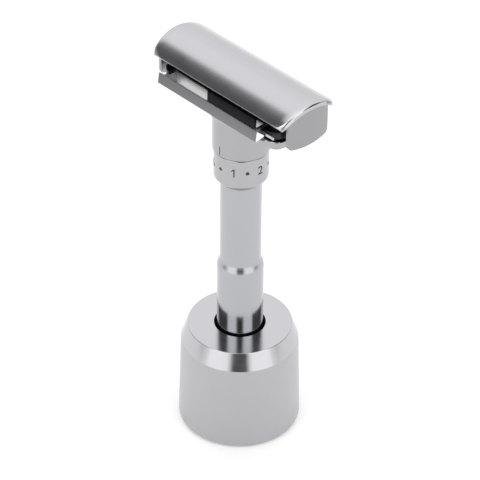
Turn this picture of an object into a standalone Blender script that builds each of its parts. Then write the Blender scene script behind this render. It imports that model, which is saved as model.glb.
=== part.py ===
"""Adjustable safety razor with a snap-on cap, standing upright in a turned metal stand.

World frame: +Z up, origin at the centre of the stand's foot pad, the head's long side along X.
The razor lifts out of the stand, the handle turns under the neck and screws the blade bed
and cap up or down, and the cap pulls off upwards. Everything is modelled in metres.
"""
import math

import bmesh
import bpy
from mathutils import Matrix, Vector

MM = 0.001
GAP = 0.3 * MM                      # running gap between neighbouring pieces
MERGE = 0.00001

# stand
STAND_FOOT_R = 16.75 * MM
STAND_SHOULDER_R = 16.01 * MM
STAND_SHOULDER_Z = 26.54 * MM
STAND_TOP_R = 14.17 * MM
STAND_TOP_Z = 31.49 * MM
STAND_HOLE_R = 6.96 * MM
STAND_FLOOR_Z = 5.2 * MM            # floor of the well, which the razor stands on
PAD_T = 1.2 * MM
PAD_R = 15.3 * MM

# handle, one turned tube with the number ring at its top
HANDLE_FOOT_Z = STAND_FLOOR_Z + GAP
HANDLE_R = 6.27 * MM
HANDLE_STEP_Z = 50.99 * MM
NECKED_R = 5.5 * MM
NECKED_Z = 54.42 * MM
DIAL_TAPER_Z = 78.74 * MM
DIAL_Z = 80.54 * MM
DIAL_R = 7.22 * MM
DIAL_TOP_Z = 88.85 * MM
DIAL_BORE_R = 5.75 * MM

# neck and guard, one casting
NECK_R = 7.58 * MM
NECK_Z = DIAL_TOP_Z + GAP
SPIGOT_R = DIAL_BORE_R - 0.35 * MM
SPIGOT_Z = 81.4 * MM
SLAB_Z = 101.5 * MM
SLAB_TOP_Z = 103.7 * MM
SLAB_HALF_Y = 8.2 * MM
BAR_HALF_X = 18.24 * MM
BAR_Y = 12.35 * MM
BAR_Z = 104.85 * MM
BAR_TOP_Z = 107.72 * MM
BAR_INNER_Y = 9.4 * MM
INSERT_START_X = -4.0 * MM           # the black upstand in front runs from here
INSERT_STOP_X = 13.4 * MM            # to here, and the one behind is turned end for end
INSERT_TOP_Z = 107.4 * MM
CHEEK_Y = 8.0 * MM
CHEEK_T = 0.6 * MM
CHEEK_TOP_Z = 107.2 * MM
FINGER_Y = 9.15 * MM
FINGER_T = 0.3 * MM
FINGER_Z = 105.5 * MM
FINGER_TOP_Z = 106.2 * MM
FINGER_END_X = 21.2 * MM
WALL_X = 16.6 * MM
WALL_T = 1.0 * MM

# blade bed
STEM_R = 2.6 * MM
THREAD_R = 2.9 * MM
THREAD_PITCH = 1.25 * MM
SHOULDER_Z = 97.8 * MM              # top of the spring chamber in the neck
BED_Z = 104.7 * MM
BED_TOP_Z = 106.6 * MM
BLOCK_HALF_Y = 8.7 * MM
POST_X = 11.2 * MM
POST_R = 1.2 * MM
PIN_X = 14.2 * MM
PIN_R = 0.9 * MM

# cap
CAP_R = 13.57 * MM
CAP_TOP_Z = 113.83 * MM
CAP_AXIS_Z = CAP_TOP_Z - CAP_R
CAP_HALF_Y = 9.5 * MM
CAP_T = 1.35 * MM
CAP_HALF_X = 25.2 * MM              # at the crown, where the cap is longest
CAP_PLAN_R = 32.0 * MM              # radius of the cap's ends seen from above
CAP_CORNER_R = 2.6 * MM
PLAN_R = 17.0 * MM                  # radius of the slab's and the bed's ends seen from above
PLATE_INSET = 0.4 * MM
PLATE_T = 0.9 * MM
PLATE_HALF_Y = 6.7 * MM
PLATE_Z = 102.0 * MM
PLATE_LOW_R = 34.0 * MM
PLATE_CORNER_R = 1.4 * MM

ROUND = 52
FINE = 28
SMALL = 16
SIDES = ((-1, "left"), (1, "right"))


def clear_scene():
    for old in list(bpy.data.objects):
        bpy.data.objects.remove(old, do_unlink=True)


def new_collection(name):
    made = bpy.data.collections.new(name)
    bpy.context.scene.collection.children.link(made)
    return made


clear_scene()
PARTS = new_collection("safety_razor")
CUTTERS = new_collection("cutters")


# ---------------------------------------------------------------- materials

def principled(name, colour, roughness, metallic):
    made = bpy.data.materials.new(name)
    made.use_nodes = True
    shader = made.node_tree.nodes["Principled BSDF"]
    shader.inputs["Base Color"].default_value = (*colour, 1.0)
    shader.inputs["Roughness"].default_value = roughness
    shader.inputs["Metallic"].default_value = metallic
    return made


SATIN_CHROME = (0.62, 0.62, 0.65)
POLISHED_CHROME = (0.76, 0.76, 0.78)
STEEL = (0.52, 0.52, 0.54)
BRASS = (0.72, 0.55, 0.25)
IRON = (0.2, 0.2, 0.21)
BLACK = (0.012, 0.012, 0.014)
RUBBER = (0.03, 0.03, 0.03)


def finish(piece, colour, roughness, metallic=1.0):
    piece.data.materials.clear()
    piece.data.materials.append(principled(piece.name, colour, roughness, metallic))
    return piece


# ---------------------------------------------------------------- shapes

def link(name, mesh, collection):
    made = bpy.data.objects.new(name, mesh)
    collection.objects.link(made)
    return made


def turned(name, profile, steps=ROUND, collection=None):
    """A profile of (radius, height) points, running down its outer side, turned about Z."""
    mesh = bpy.data.meshes.new(name)
    closed = profile[0][0] > 0.0
    count = len(profile)
    edges = [(i, i + 1) for i in range(count - 1)]
    if closed:
        edges.append((count - 1, 0))
    mesh.from_pydata([(radius, 0.0, height) for radius, height in profile], edges, [])
    made = link(name, mesh, collection or PARTS)
    screw = made.modifiers.new("Screw", "SCREW")
    screw.axis = "Z"
    screw.steps = steps
    screw.render_steps = steps
    screw.use_merge_vertices = True
    screw.merge_threshold = MERGE
    screw.use_smooth_shade = False
    return made


def baked(made):
    """Apply the object's modifiers, so that it can be cut or joined again."""
    graph = bpy.context.evaluated_depsgraph_get()
    mesh = bpy.data.meshes.new_from_object(made.evaluated_get(graph))
    mesh.transform(made.matrix_world)
    collection = made.users_collection[0]
    name = made.name
    bpy.data.objects.remove(made, do_unlink=True)
    mesh.name = name
    return link(name, mesh, collection)


def slab(name, outline, low, high, plane="XY", collection=None):
    """A flat outline with a thickness from low to high along the plane's normal."""
    curve = bpy.data.curves.new(name, "CURVE")
    curve.dimensions = "2D"
    curve.fill_mode = "BOTH"
    curve.extrude = (high - low) / 2
    curve.render_resolution_u = 0
    spline = curve.splines.new("POLY")
    spline.points.add(len(outline) - 1)
    for point, (a, b) in zip(spline.points, outline):
        point.co = (a, b, 0.0, 1.0)
    spline.use_cyclic_u = True
    guide = link(name, curve, collection or PARTS)
    middle = (low + high) / 2
    if plane == "XY":
        place = Matrix.Translation((0.0, 0.0, middle))
    else:                           # outline in (Y, Z), thickness along X
        place = Matrix.Translation((middle, 0.0, 0.0)) @ Matrix(
            ((0, 0, 1, 0), (1, 0, 0, 0), (0, 1, 0, 0), (0, 0, 0, 1)))
    graph = bpy.context.evaluated_depsgraph_get()
    mesh = bpy.data.meshes.new_from_object(guide.evaluated_get(graph))
    mesh.transform(place)
    weld(mesh)
    where = guide.users_collection[0]
    bpy.data.objects.remove(guide, do_unlink=True)
    return link(name, mesh, where)


def weld(mesh):
    work = bmesh.new()
    work.from_mesh(mesh)
    bmesh.ops.remove_doubles(work, verts=work.verts, dist=MERGE)
    bmesh.ops.recalc_face_normals(work, faces=work.faces)
    work.to_mesh(mesh)
    work.free()


def box(name, low, high, collection=None):
    work = bmesh.new()
    bmesh.ops.create_cube(work, size=1.0)
    size = Vector(high) - Vector(low)
    middle = (Vector(high) + Vector(low)) / 2
    bmesh.ops.scale(work, vec=size, verts=work.verts)
    bmesh.ops.translate(work, vec=middle, verts=work.verts)
    mesh = bpy.data.meshes.new(name)
    work.to_mesh(mesh)
    work.free()
    return link(name, mesh, collection or PARTS)


def rod(name, radius, low, high, x=0.0, y=0.0, steps=SMALL, collection=None):
    work = bmesh.new()
    bmesh.ops.create_cone(work, cap_ends=True, segments=steps, radius1=radius, radius2=radius,
                          depth=high - low)
    bmesh.ops.translate(work, vec=(x, y, (low + high) / 2), verts=work.verts)
    mesh = bpy.data.meshes.new(name)
    work.to_mesh(mesh)
    work.free()
    return link(name, mesh, collection or PARTS)


def combine(target, tool, operation):
    """A Boolean with another object, which moves to the cutters."""
    step = target.modifiers.new(operation.title(), "BOOLEAN")
    step.operation = operation
    step.solver = "EXACT"
    step.object = tool
    tool.hide_render = True
    tool.display_type = "WIRE"
    for old in list(tool.users_collection):
        old.objects.unlink(tool)
    CUTTERS.objects.link(tool)
    return target


def cut(target, tool):
    return combine(target, tool, "DIFFERENCE")


def join(target, tool):
    return combine(target, tool, "UNION")


def keep_inside(target, tool):
    return combine(target, tool, "INTERSECT")


def coil(name, radius, wire, low, high, turns, around=(0.0, 0.0), per_turn=12):
    """A compression spring as a round wire along a helix."""
    curve = bpy.data.curves.new(name, "CURVE")
    curve.dimensions = "3D"
    curve.bevel_depth = wire
    curve.bevel_resolution = 1
    curve.render_resolution_u = 0
    curve.use_fill_caps = True
    spline = curve.splines.new("POLY")
    count = turns * per_turn
    spline.points.add(count)
    for index in range(count + 1):
        share = index / count
        angle = 2 * math.pi * turns * share
        height = low + wire + (high - low - 2 * wire) * share
        spot = (around[0] + radius * math.cos(angle), around[1] + radius * math.sin(angle), height)
        spline.points[index].co = (*spot, 1.0)
    guide = link(name, curve, PARTS)
    graph = bpy.context.evaluated_depsgraph_get()
    mesh = bpy.data.meshes.new_from_object(guide.evaluated_get(graph))
    weld(mesh)
    bpy.data.objects.remove(guide, do_unlink=True)
    return link(name, mesh, PARTS)


def arc(centre, radius, start, stop, count):
    """Points on a circle from one angle to another, in degrees."""
    spots = []
    for index in range(count + 1):
        angle = math.radians(start + (stop - start) * index / count)
        spots.append((centre[0] + radius * math.cos(angle), centre[1] + radius * math.sin(angle)))
    return spots


def end_outline(half_x, half_y, corner, count=8):
    """Outline seen from above whose two ends are arcs of PLAN_R, with rounded corners."""
    reach = half_y - corner
    swing = math.degrees(math.asin(reach / PLAN_R))
    right = arc((half_x - PLAN_R, 0.0), PLAN_R, -swing, swing, count)
    if corner > 0.0:
        edge_x = right[-1][0]
        inner = (edge_x - corner * math.cos(math.radians(swing)), reach)
        right += arc(inner, corner, swing + 15.0, 90.0, 4)
        lower = [(x, -y) for x, y in reversed(right[count + 1:])]
        right = lower + right
    left = [(-x, -y) for x, y in right]
    return right + left


# ---------------------------------------------------------------- stand

PLATE_LOW = PAD_T + GAP
PLATE_HIGH = 3.1 * MM
WELL_R = HANDLE_R + 0.35 * MM
LINER_R = 8.0 * MM
LINER_TOP_Z = 28.3 * MM
SCREW_R = 1.65 * MM
SCREW_HEAD_R = 3.1 * MM
SCREW_HEAD_Z = 2.4 * MM


def stand_shell():
    edge = 0.8 * MM
    lip = 0.4 * MM
    room_r = 15.0 * MM
    roof = 24.5 * MM
    profile = [
        (STAND_HOLE_R + lip, STAND_TOP_Z),
        (STAND_TOP_R, STAND_TOP_Z),
        (STAND_SHOULDER_R, STAND_SHOULDER_Z),
        (STAND_FOOT_R, GAP + edge),
        (STAND_FOOT_R - 0.3 * edge, GAP + 0.3 * edge),
        (STAND_FOOT_R - edge, GAP),
        (PAD_R + GAP, GAP),
        (PAD_R + GAP, PLATE_HIGH + GAP),
        (room_r, PLATE_HIGH + GAP),
        (room_r, roof),
        (LINER_R + GAP, roof),
        (LINER_R + GAP, LINER_TOP_Z + GAP),
        (STAND_HOLE_R, LINER_TOP_Z + GAP),
        (STAND_HOLE_R, STAND_TOP_Z - lip),
    ]
    return finish(turned("stand_shell", profile, 60), SATIN_CHROME, 0.34)


def stand_liner():
    rim = 0.5 * MM
    low = PLATE_HIGH + GAP
    hole = SCREW_R + GAP
    profile = [
        (WELL_R + rim, LINER_TOP_Z),
        (LINER_R, LINER_TOP_Z),
        (LINER_R, low),
        (hole, low),
        (hole, STAND_FLOOR_Z),
        (WELL_R, STAND_FLOOR_Z),
        (WELL_R, LINER_TOP_Z - rim),
    ]
    return finish(turned("stand_liner", profile, 40), BLACK, 0.5, 0.0)


def ring(name, inner, outer, low, high, steps=FINE):
    return turned(name, [(inner, high), (outer, high), (outer, low), (inner, low)], steps)


def stand_ballast():
    made = ring("stand_ballast", LINER_R + GAP, 14.7 * MM, PLATE_HIGH + GAP, 24.2 * MM)
    return finish(made, IRON, 0.7)


def stand_base_plate():
    bore = SCREW_R + GAP
    sunk = SCREW_HEAD_R + GAP
    sunk_z = SCREW_HEAD_Z + GAP
    profile = [(bore, PLATE_HIGH), (PAD_R, PLATE_HIGH), (PAD_R, PLATE_LOW), (sunk, PLATE_LOW),
               (sunk, sunk_z), (bore, sunk_z)]
    return finish(turned("stand_base_plate", profile, 40), STEEL, 0.4)


def stand_base_screw():
    tip = STAND_FLOOR_Z - GAP
    profile = [(0.0, tip), (SCREW_R, tip), (SCREW_R, SCREW_HEAD_Z), (SCREW_HEAD_R, SCREW_HEAD_Z),
               (SCREW_HEAD_R, PLATE_LOW), (0.0, PLATE_LOW)]
    return finish(turned("stand_base_screw", profile, SMALL), STEEL, 0.4)


def stand_foot_pad():
    return finish(rod("stand_foot_pad", PAD_R, 0.0, PAD_T, steps=48), RUBBER, 0.9, 0.0)


# ---------------------------------------------------------------- handle

PLUG_FLANGE_Z = HANDLE_FOOT_Z + 1.3 * MM
TUBE_FOOT_Z = PLUG_FLANGE_Z + GAP
PLUG_R = 4.25 * MM
PLUG_TOP_Z = 14.0 * MM
TUBE_BORE_R = 3.6 * MM
BUSH_R = 4.2 * MM
BUSH_Z = 72.8 * MM
BUSH_TOP_Z = 80.3 * MM
CLIP_Z = 82.6 * MM
CLIP_T = 0.8 * MM
CLIP_INNER_R = 4.95 * MM
CLIP_OUTER_R = 6.1 * MM
CLIP_SLOT = 1.6 * MM


def handle_tube():
    """The satin tube with its foot, its step, its necked grip and the number ring."""
    rounding = 0.25 * MM
    bush_bore = BUSH_R + GAP
    groove_low = CLIP_Z - GAP
    groove_high = CLIP_Z + CLIP_T + GAP
    groove_r = CLIP_OUTER_R + 0.35 * MM
    plug_bore = PLUG_R + GAP
    profile = [
        (DIAL_BORE_R, DIAL_TOP_Z),
        (DIAL_R - rounding, DIAL_TOP_Z),
        (DIAL_R, DIAL_TOP_Z - rounding),
        (DIAL_R, DIAL_Z),
        (NECKED_R, DIAL_TAPER_Z),
        (NECKED_R, NECKED_Z),
        (HANDLE_R, HANDLE_STEP_Z),
        (HANDLE_R, TUBE_FOOT_Z + rounding),
        (HANDLE_R - rounding, TUBE_FOOT_Z),
        (plug_bore, TUBE_FOOT_Z),
        (plug_bore, PLUG_TOP_Z + GAP),
        (TUBE_BORE_R, PLUG_TOP_Z + GAP),
        (TUBE_BORE_R, BUSH_Z - GAP),
        (bush_bore, BUSH_Z - GAP),
        (bush_bore, BUSH_TOP_Z + GAP),
        (DIAL_BORE_R, BUSH_TOP_Z + GAP),
        (DIAL_BORE_R, groove_low),
        (groove_r, groove_low),
        (groove_r, groove_high),
        (DIAL_BORE_R, groove_high),
    ]
    return finish(turned("handle_tube", profile, ROUND), SATIN_CHROME, 0.36)


def handle_end_plug():
    flange = 6.0 * MM
    edge = 0.3 * MM
    profile = [(0.0, PLUG_TOP_Z), (PLUG_R, PLUG_TOP_Z), (PLUG_R, PLUG_FLANGE_Z), (flange, PLUG_FLANGE_Z),
               (flange, HANDLE_FOOT_Z + edge), (flange - edge, HANDLE_FOOT_Z), (0.0, HANDLE_FOOT_Z)]
    return finish(turned("handle_end_plug", profile, FINE), POLISHED_CHROME, 0.2)


def adjuster_bush():
    made = ring("adjuster_bush", THREAD_R + 0.35 * MM, BUSH_R, BUSH_Z, BUSH_TOP_Z)
    return finish(made, BRASS, 0.35)


def thrust_washer():
    made = ring("thrust_washer", THREAD_R + 0.35 * MM, 5.3 * MM, BUSH_TOP_Z + 0.3 * MM, BUSH_TOP_Z + 0.8 * MM)
    return finish(made, BRASS, 0.35)


# ---------------------------------------------------------------- neck and guard

DETENT_Y = -5.9 * MM
DETENT_R = 0.7 * MM
DETENT_TOP_Z = 94.5 * MM
CHAMBER_R = 4.2 * MM
STEM_BORE_R = STEM_R + 0.35 * MM


def neck():
    """The round neck with the spigot that the handle turns on and the spring chamber inside."""
    edge = 0.25 * MM
    groove_r = CLIP_INNER_R - 0.35 * MM
    flare = 1.6 * MM
    profile = [
        (STEM_BORE_R, SLAB_Z + 0.5 * MM),
        (NECK_R + flare, SLAB_Z + 0.5 * MM),
        (NECK_R + flare, SLAB_Z),
        (NECK_R + 0.3 * flare, SLAB_Z - 0.7 * flare),
        (NECK_R, SLAB_Z - 1.7 * flare),
        (NECK_R, NECK_Z + edge),
        (NECK_R - edge, NECK_Z),
        (SPIGOT_R, NECK_Z),
        (SPIGOT_R, CLIP_Z + CLIP_T + GAP),
        (groove_r, CLIP_Z + CLIP_T + GAP),
        (groove_r, CLIP_Z - GAP),
        (SPIGOT_R, CLIP_Z - GAP),
        (SPIGOT_R, SPIGOT_Z),
        (CHAMBER_R, SPIGOT_Z),
        (CHAMBER_R, SHOULDER_Z),
        (STEM_BORE_R, SHOULDER_Z),
    ]
    return turned("neck", profile, ROUND)


def guard_bar(side):
    """One straight guard bar, a wedge that thins towards the blade and leans in a little."""
    lean = 0.45 * MM
    lip = 0.3 * MM
    outline = [(BAR_Y, BAR_Z), (BAR_Y - lean, BAR_TOP_Z), (BAR_Y - lean - lip, BAR_TOP_Z),
               (BAR_INNER_Y, BAR_Z + 0.9 * MM), (BAR_INNER_Y, BAR_Z + 0.4 * MM)]
    outline = [(side * y, z) for y, z in outline]
    return slab("bar", outline, -BAR_HALF_X, BAR_HALF_X, "YZ")


def end_wall(x):
    """A thin wall across the tray that carries both bars, with a window for the blade bed."""
    half = BAR_Y - 0.65 * MM
    window = 6.2 * MM
    sill = BED_Z - 0.6 * MM
    shoulder = 7.9 * MM
    outline = [(-half, BAR_Z + 0.3 * MM), (-shoulder, SLAB_Z + 1.0 * MM), (shoulder, SLAB_Z + 1.0 * MM),
               (half, BAR_Z + 0.3 * MM), (half, BAR_TOP_Z - 0.4 * MM), (window, BAR_TOP_Z - 0.4 * MM),
               (window, sill), (-window, sill), (-window, BAR_TOP_Z - 0.4 * MM),
               (-half, BAR_TOP_Z - 0.4 * MM)]
    return slab("wall", outline, x - WALL_T / 2, x + WALL_T / 2, "YZ")


def tray_wings():
    """Upright cheeks along the tray, and a finger past two of its end walls, turned end for end."""
    wall_x = WALL_X - WALL_T / 2 + 0.2 * MM
    finger_x = WALL_X + WALL_T / 2 - 0.2 * MM
    low = SLAB_TOP_Z - 0.2 * MM
    made = []
    for sense in (-1, 1):
        near, far = sorted((sense * CHEEK_Y, sense * (CHEEK_Y - CHEEK_T)))
        for start, stop in ((-wall_x, INSERT_START_X - GAP), (INSERT_STOP_X + GAP, wall_x)):
            low_x, high_x = sorted((-sense * start, -sense * stop))
            made.append(box("cheek", (low_x, near, low), (high_x, far, CHEEK_TOP_Z)))
        low_x, high_x = sorted((-sense * finger_x, -sense * FINGER_END_X))
        near, far = sorted((sense * FINGER_Y, sense * (FINGER_Y - FINGER_T)))
        made.append(box("finger", (low_x, near, FINGER_Z), (high_x, far, FINGER_TOP_Z)))
    return made


def guard_head():
    """Neck, slab, end walls, guard bars and the tray's cheeks as one casting."""
    slab_outline = end_outline(22.1 * MM, SLAB_HALF_Y, 3.0 * MM)
    made = slab("guard_head", slab_outline, SLAB_Z, SLAB_TOP_Z)
    pieces = [baked(neck()), guard_bar(1), guard_bar(-1), end_wall(WALL_X), end_wall(-WALL_X)]
    for piece in pieces + tray_wings():
        join(made, piece)
    cut(made, rod("stem_bore", STEM_BORE_R, SHOULDER_Z - GAP, SLAB_TOP_Z + GAP, steps=FINE))
    cut(made, rod("detent_bore", DETENT_R + 0.35 * MM, NECK_Z - GAP, DETENT_TOP_Z + GAP, y=DETENT_Y))
    for side in (-1, 1):
        cut(made, rod("pin_bore", PIN_R + GAP, SLAB_Z + 0.7 * MM, SLAB_TOP_Z + GAP, x=side * PIN_X))
    return finish(made, SATIN_CHROME, 0.32)


def tray_insert():
    """The black sheet on the tray's floor, with an upstand on each side and a hole for the stem."""
    low = SLAB_TOP_Z + GAP
    inner_y = CHEEK_Y - 1.0 * MM
    sheet_x = PIN_X - PIN_R - 2 * GAP
    made = box("tray_insert", (-sheet_x, -inner_y, low), (sheet_x, inner_y, low + 0.4 * MM))
    for sense in (-1, 1):
        near, far = sorted((sense * CHEEK_Y, sense * (inner_y - 0.2 * MM)))
        low_x, high_x = sorted((-sense * INSERT_START_X, -sense * INSERT_STOP_X))
        join(made, box("upstand", (low_x, near, low), (high_x, far, INSERT_TOP_Z)))
    cut(made, rod("insert_bore", STEM_BORE_R, SLAB_Z, BED_TOP_Z, steps=FINE))
    return finish(made, BLACK, 0.4, 0.0)


def retaining_clip():
    made = baked(ring("retaining_clip", CLIP_INNER_R, CLIP_OUTER_R, CLIP_Z, CLIP_Z + CLIP_T))
    half = CLIP_SLOT / 2
    low = (-half, 0.0, CLIP_Z - GAP)
    high = (half, CLIP_OUTER_R + GAP, CLIP_Z + CLIP_T + GAP)
    cut(made, box("clip_slot", low, high))
    return finish(made, STEEL, 0.35)


def detent_ball():
    work = bmesh.new()
    bmesh.ops.create_uvsphere(work, u_segments=12, v_segments=8, radius=DETENT_R)
    centre = (0.0, DETENT_Y, NECK_Z + DETENT_R - 0.2 * MM)
    bmesh.ops.translate(work, vec=centre, verts=work.verts)
    mesh = bpy.data.meshes.new("detent_ball")
    work.to_mesh(mesh)
    work.free()
    return finish(link("detent_ball", mesh, PARTS), STEEL, 0.15)


def detent_spring():
    low = NECK_Z + 2 * DETENT_R + 0.1 * MM
    made = coil("detent_spring", 0.6 * MM, 0.12 * MM, low, DETENT_TOP_Z, 5, (0.0, DETENT_Y), 10)
    return finish(made, STEEL, 0.3)


def guide_pin(side, label):
    made = rod("guide_pin_" + label, PIN_R, SLAB_Z + 1.0 * MM, BED_TOP_Z - GAP, x=side * PIN_X)
    return finish(made, STEEL, 0.25)


# ---------------------------------------------------------------- blade bed

FLANGE_Z = 83.6 * MM
FLANGE_T = 1.2 * MM
STEM_TOP_Z = BED_Z - GAP
STEM_FOOT_Z = 71.0 * MM
BED_SCREW_R = 1.3 * MM
BED_SCREW_HEAD_R = 2.6 * MM
BED_SCREW_HEAD_Z = 109.3 * MM
SUPPORT_R = CAP_R - CAP_T - 0.5 * MM
SUPPORT_END_X = 15.75 * MM
HUB_HALF_X = 7.2 * MM
HUB_HALF_Y = 5.4 * MM
SPINE_HALF_Y = 5.6 * MM
BLOCK_X = 17.5 * MM
BLOCK_END_X = 22.2 * MM


def adjuster_stem():
    """The threaded stem that carries the bed, with the flange that the return spring presses."""
    flange_r = CHAMBER_R - 0.4 * MM
    socket_r = BED_SCREW_R + GAP
    socket_z = 97.0 * MM
    profile = [(socket_r, STEM_TOP_Z), (STEM_R, STEM_TOP_Z), (STEM_R, FLANGE_Z + FLANGE_T),
               (flange_r, FLANGE_Z + FLANGE_T), (flange_r, FLANGE_Z), (STEM_R, FLANGE_Z)]
    height = BUSH_TOP_Z
    while height - THREAD_PITCH > STEM_FOOT_Z:
        profile.append((STEM_R, height))
        profile.append((THREAD_R, height - THREAD_PITCH / 2))
        height -= THREAD_PITCH
    profile += [(STEM_R, height), (STEM_R, STEM_FOOT_Z), (0.0, STEM_FOOT_Z)]
    profile = [(0.0, socket_z), (socket_r, socket_z)] + profile
    return finish(turned("adjuster_stem", profile, SMALL), STEEL, 0.3)


def return_spring():
    low = FLANGE_Z + FLANGE_T + GAP
    made = coil("return_spring", 3.4 * MM, 0.35 * MM, low, SHOULDER_Z - GAP, 6)
    return finish(made, STEEL, 0.3)


def saddle_outline(low):
    """The outline across the bed, from the height low up to the curve that the blade lies on."""
    angle = math.degrees(math.acos(HUB_HALF_Y / SUPPORT_R))
    curve = arc((0.0, CAP_AXIS_Z), SUPPORT_R, angle, 180.0 - angle, 16)
    return [(HUB_HALF_Y, low)] + curve + [(-HUB_HALF_Y, low)]


def bed_carrier():
    """The black moulding: a spine through both end walls, an arched hub and an end block each side."""
    made = slab("bed_carrier", end_outline(BLOCK_END_X, BLOCK_HALF_Y, 4.0 * MM), BED_Z, BED_TOP_Z)
    for across in (-1, 1):
        low_y, high_y = sorted((across * SPINE_HALF_Y, across * (BLOCK_HALF_Y + GAP)))
        cut(made, box("spine_side", (-BLOCK_X, low_y, BED_Z - GAP), (BLOCK_X, high_y, BED_TOP_Z + GAP)))
    join(made, slab("hub", saddle_outline(BED_Z), -HUB_HALF_X, HUB_HALF_X, "YZ"))
    top = CAP_TOP_Z
    cut(made, rod("bed_screw_bore", BED_SCREW_R + GAP, BED_Z - GAP, top))
    cut(made, rod("bed_screw_seat", BED_SCREW_HEAD_R + GAP, BED_SCREW_HEAD_Z - GAP, top, steps=FINE))
    for side in (-1, 1):
        cut(made, rod("post_bore", POST_R + 0.35 * MM, BED_Z - GAP, top, x=side * POST_X))
        cut(made, rod("guide_bore", PIN_R + 0.35 * MM, BED_Z - GAP, top, x=side * PIN_X))
    return finish(made, BLACK, 0.35, 0.0)


def bed_screw():
    head_top = BED_SCREW_HEAD_Z + 1.4 * MM
    foot = 97.4 * MM
    slot = 0.4 * MM
    profile = [(0.0, head_top), (BED_SCREW_HEAD_R, head_top), (BED_SCREW_HEAD_R, BED_SCREW_HEAD_Z),
               (BED_SCREW_R, BED_SCREW_HEAD_Z), (BED_SCREW_R, foot), (0.0, foot)]
    made = baked(turned("bed_screw", profile, SMALL))
    low = (-2 * BED_SCREW_HEAD_R, -slot, head_top - 0.6 * MM)
    high = (2 * BED_SCREW_HEAD_R, slot, head_top + GAP)
    cut(made, box("driver_slot", low, high))
    return finish(made, STEEL, 0.25)


def blade_support(side, label):
    """A polished saddle on the spine beside the hub, which the blade rests on."""
    low, high = sorted((side * (HUB_HALF_X + GAP), side * SUPPORT_END_X))
    outline = saddle_outline(BED_TOP_Z + GAP)
    made = slab("blade_support_" + label, outline, low, high, "YZ")
    cut(made, rod("support_bore", POST_R + 0.35 * MM, BED_Z, CAP_TOP_Z, x=side * POST_X))
    return finish(made, POLISHED_CHROME, 0.12)


def catch_spring(side, label):
    """A leaf at the bed's end that grips the cap's end plate from inside."""
    thick = 0.35 * MM
    half = 3.4 * MM
    radius = PLAN_R - 2.3 * MM
    swing = math.degrees(math.asin(half / radius))
    middle = BLOCK_END_X + GAP - radius
    outer = arc((middle, 0.0), radius + thick, -swing, swing, 8)
    inner = arc((middle, 0.0), radius, swing, -swing, 8)
    outline = [(side * x, y) for x, y in outer + inner]
    made = slab("catch_spring_" + label, outline, SLAB_TOP_Z + 0.4 * MM, BED_TOP_Z - 0.2 * MM)
    return finish(made, STEEL, 0.25)


# ---------------------------------------------------------------- cap

def cap_arch():
    """The arched cover across its whole length, before its ends are trimmed."""
    inner_r = CAP_R - CAP_T
    outer_angle = math.degrees(math.acos(CAP_HALF_Y / CAP_R))
    inner_y = CAP_HALF_Y - 0.9 * MM
    inner_angle = math.degrees(math.acos(inner_y / inner_r))
    outline = arc((0.0, CAP_AXIS_Z), CAP_R, outer_angle, 180.0 - outer_angle, 28)
    outline += arc((0.0, CAP_AXIS_Z), inner_r, 180.0 - inner_angle, inner_angle, 22)
    reach = CAP_HALF_X + 1.0 * MM
    return slab("cap", outline, -reach, reach, "YZ")


def cap_reach(y):
    """How far along X the cap goes at a distance from its middle."""
    across = abs(y)
    corner_y = CAP_HALF_Y - CAP_CORNER_R
    between = CAP_PLAN_R - CAP_CORNER_R
    if across * between < corner_y * CAP_PLAN_R:
        return CAP_HALF_X - CAP_PLAN_R + math.sqrt(CAP_PLAN_R ** 2 - across ** 2)
    corner_x = CAP_HALF_X - CAP_PLAN_R + math.sqrt(between ** 2 - corner_y ** 2)
    return corner_x + math.sqrt(max(0.0, CAP_CORNER_R ** 2 - (across - corner_y) ** 2))


def crown_plan():
    """The cap's outline seen from above, running on past its long sides."""
    steps = 14
    right = []
    for step in range(-steps, steps + 1):
        y = CAP_HALF_Y * math.sin(math.pi / 2 * step / steps)
        right.append((cap_reach(y), y))
    beyond = CAP_HALF_Y + 1.0 * MM
    end_x = cap_reach(CAP_HALF_Y)
    right = [(end_x, -beyond)] + right + [(end_x, beyond)]
    return right + [(-x, y) for x, y in reversed(right)]


def plate_outline():
    """The end plates' outline from the side: a nearly straight lower edge with round corners."""
    reach = PLATE_HALF_Y - PLATE_CORNER_R
    swing = math.degrees(math.asin(reach / (PLATE_LOW_R - PLATE_CORNER_R)))
    centre_z = PLATE_Z + PLATE_LOW_R
    corner_z = centre_z - math.sqrt((PLATE_LOW_R - PLATE_CORNER_R) ** 2 - reach ** 2)
    outline = arc((-reach, corner_z), PLATE_CORNER_R, 180.0, 270.0 - swing, 6)
    outline += arc((0.0, centre_z), PLATE_LOW_R, 270.0 - swing, 270.0 + swing, 8)[1:-1]
    outline += arc((reach, corner_z), PLATE_CORNER_R, 270.0 + swing, 360.0, 6)
    roof_r = CAP_R - 0.5 * CAP_T
    roof_angle = math.degrees(math.acos(PLATE_HALF_Y / roof_r))
    return outline + arc((0.0, CAP_AXIS_Z), roof_r, roof_angle, 180.0 - roof_angle, 16)


def end_plate(side):
    """A plate that is bowed like the cap's end, a little behind the crown's rim."""
    steps = 12
    half = PLATE_HALF_Y + 0.4 * MM
    across = [half * (2 * step / steps - 1) for step in range(steps + 1)]
    outer = [(cap_reach(y) - PLATE_INSET, y) for y in across]
    inner = [(x - PLATE_T, y) for x, y in reversed(outer)]
    strip = [(side * x, y) for x, y in outer + inner]
    made = slab("end_plate", strip, PLATE_Z - 1.0 * MM, CAP_TOP_Z + 1.0 * MM)
    low, high = sorted((side * 0.6 * CAP_HALF_X, side * (CAP_HALF_X + 1.0 * MM)))
    keep_inside(made, slab("plate_side", plate_outline(), low, high, "YZ"))
    return baked(made)


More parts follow.
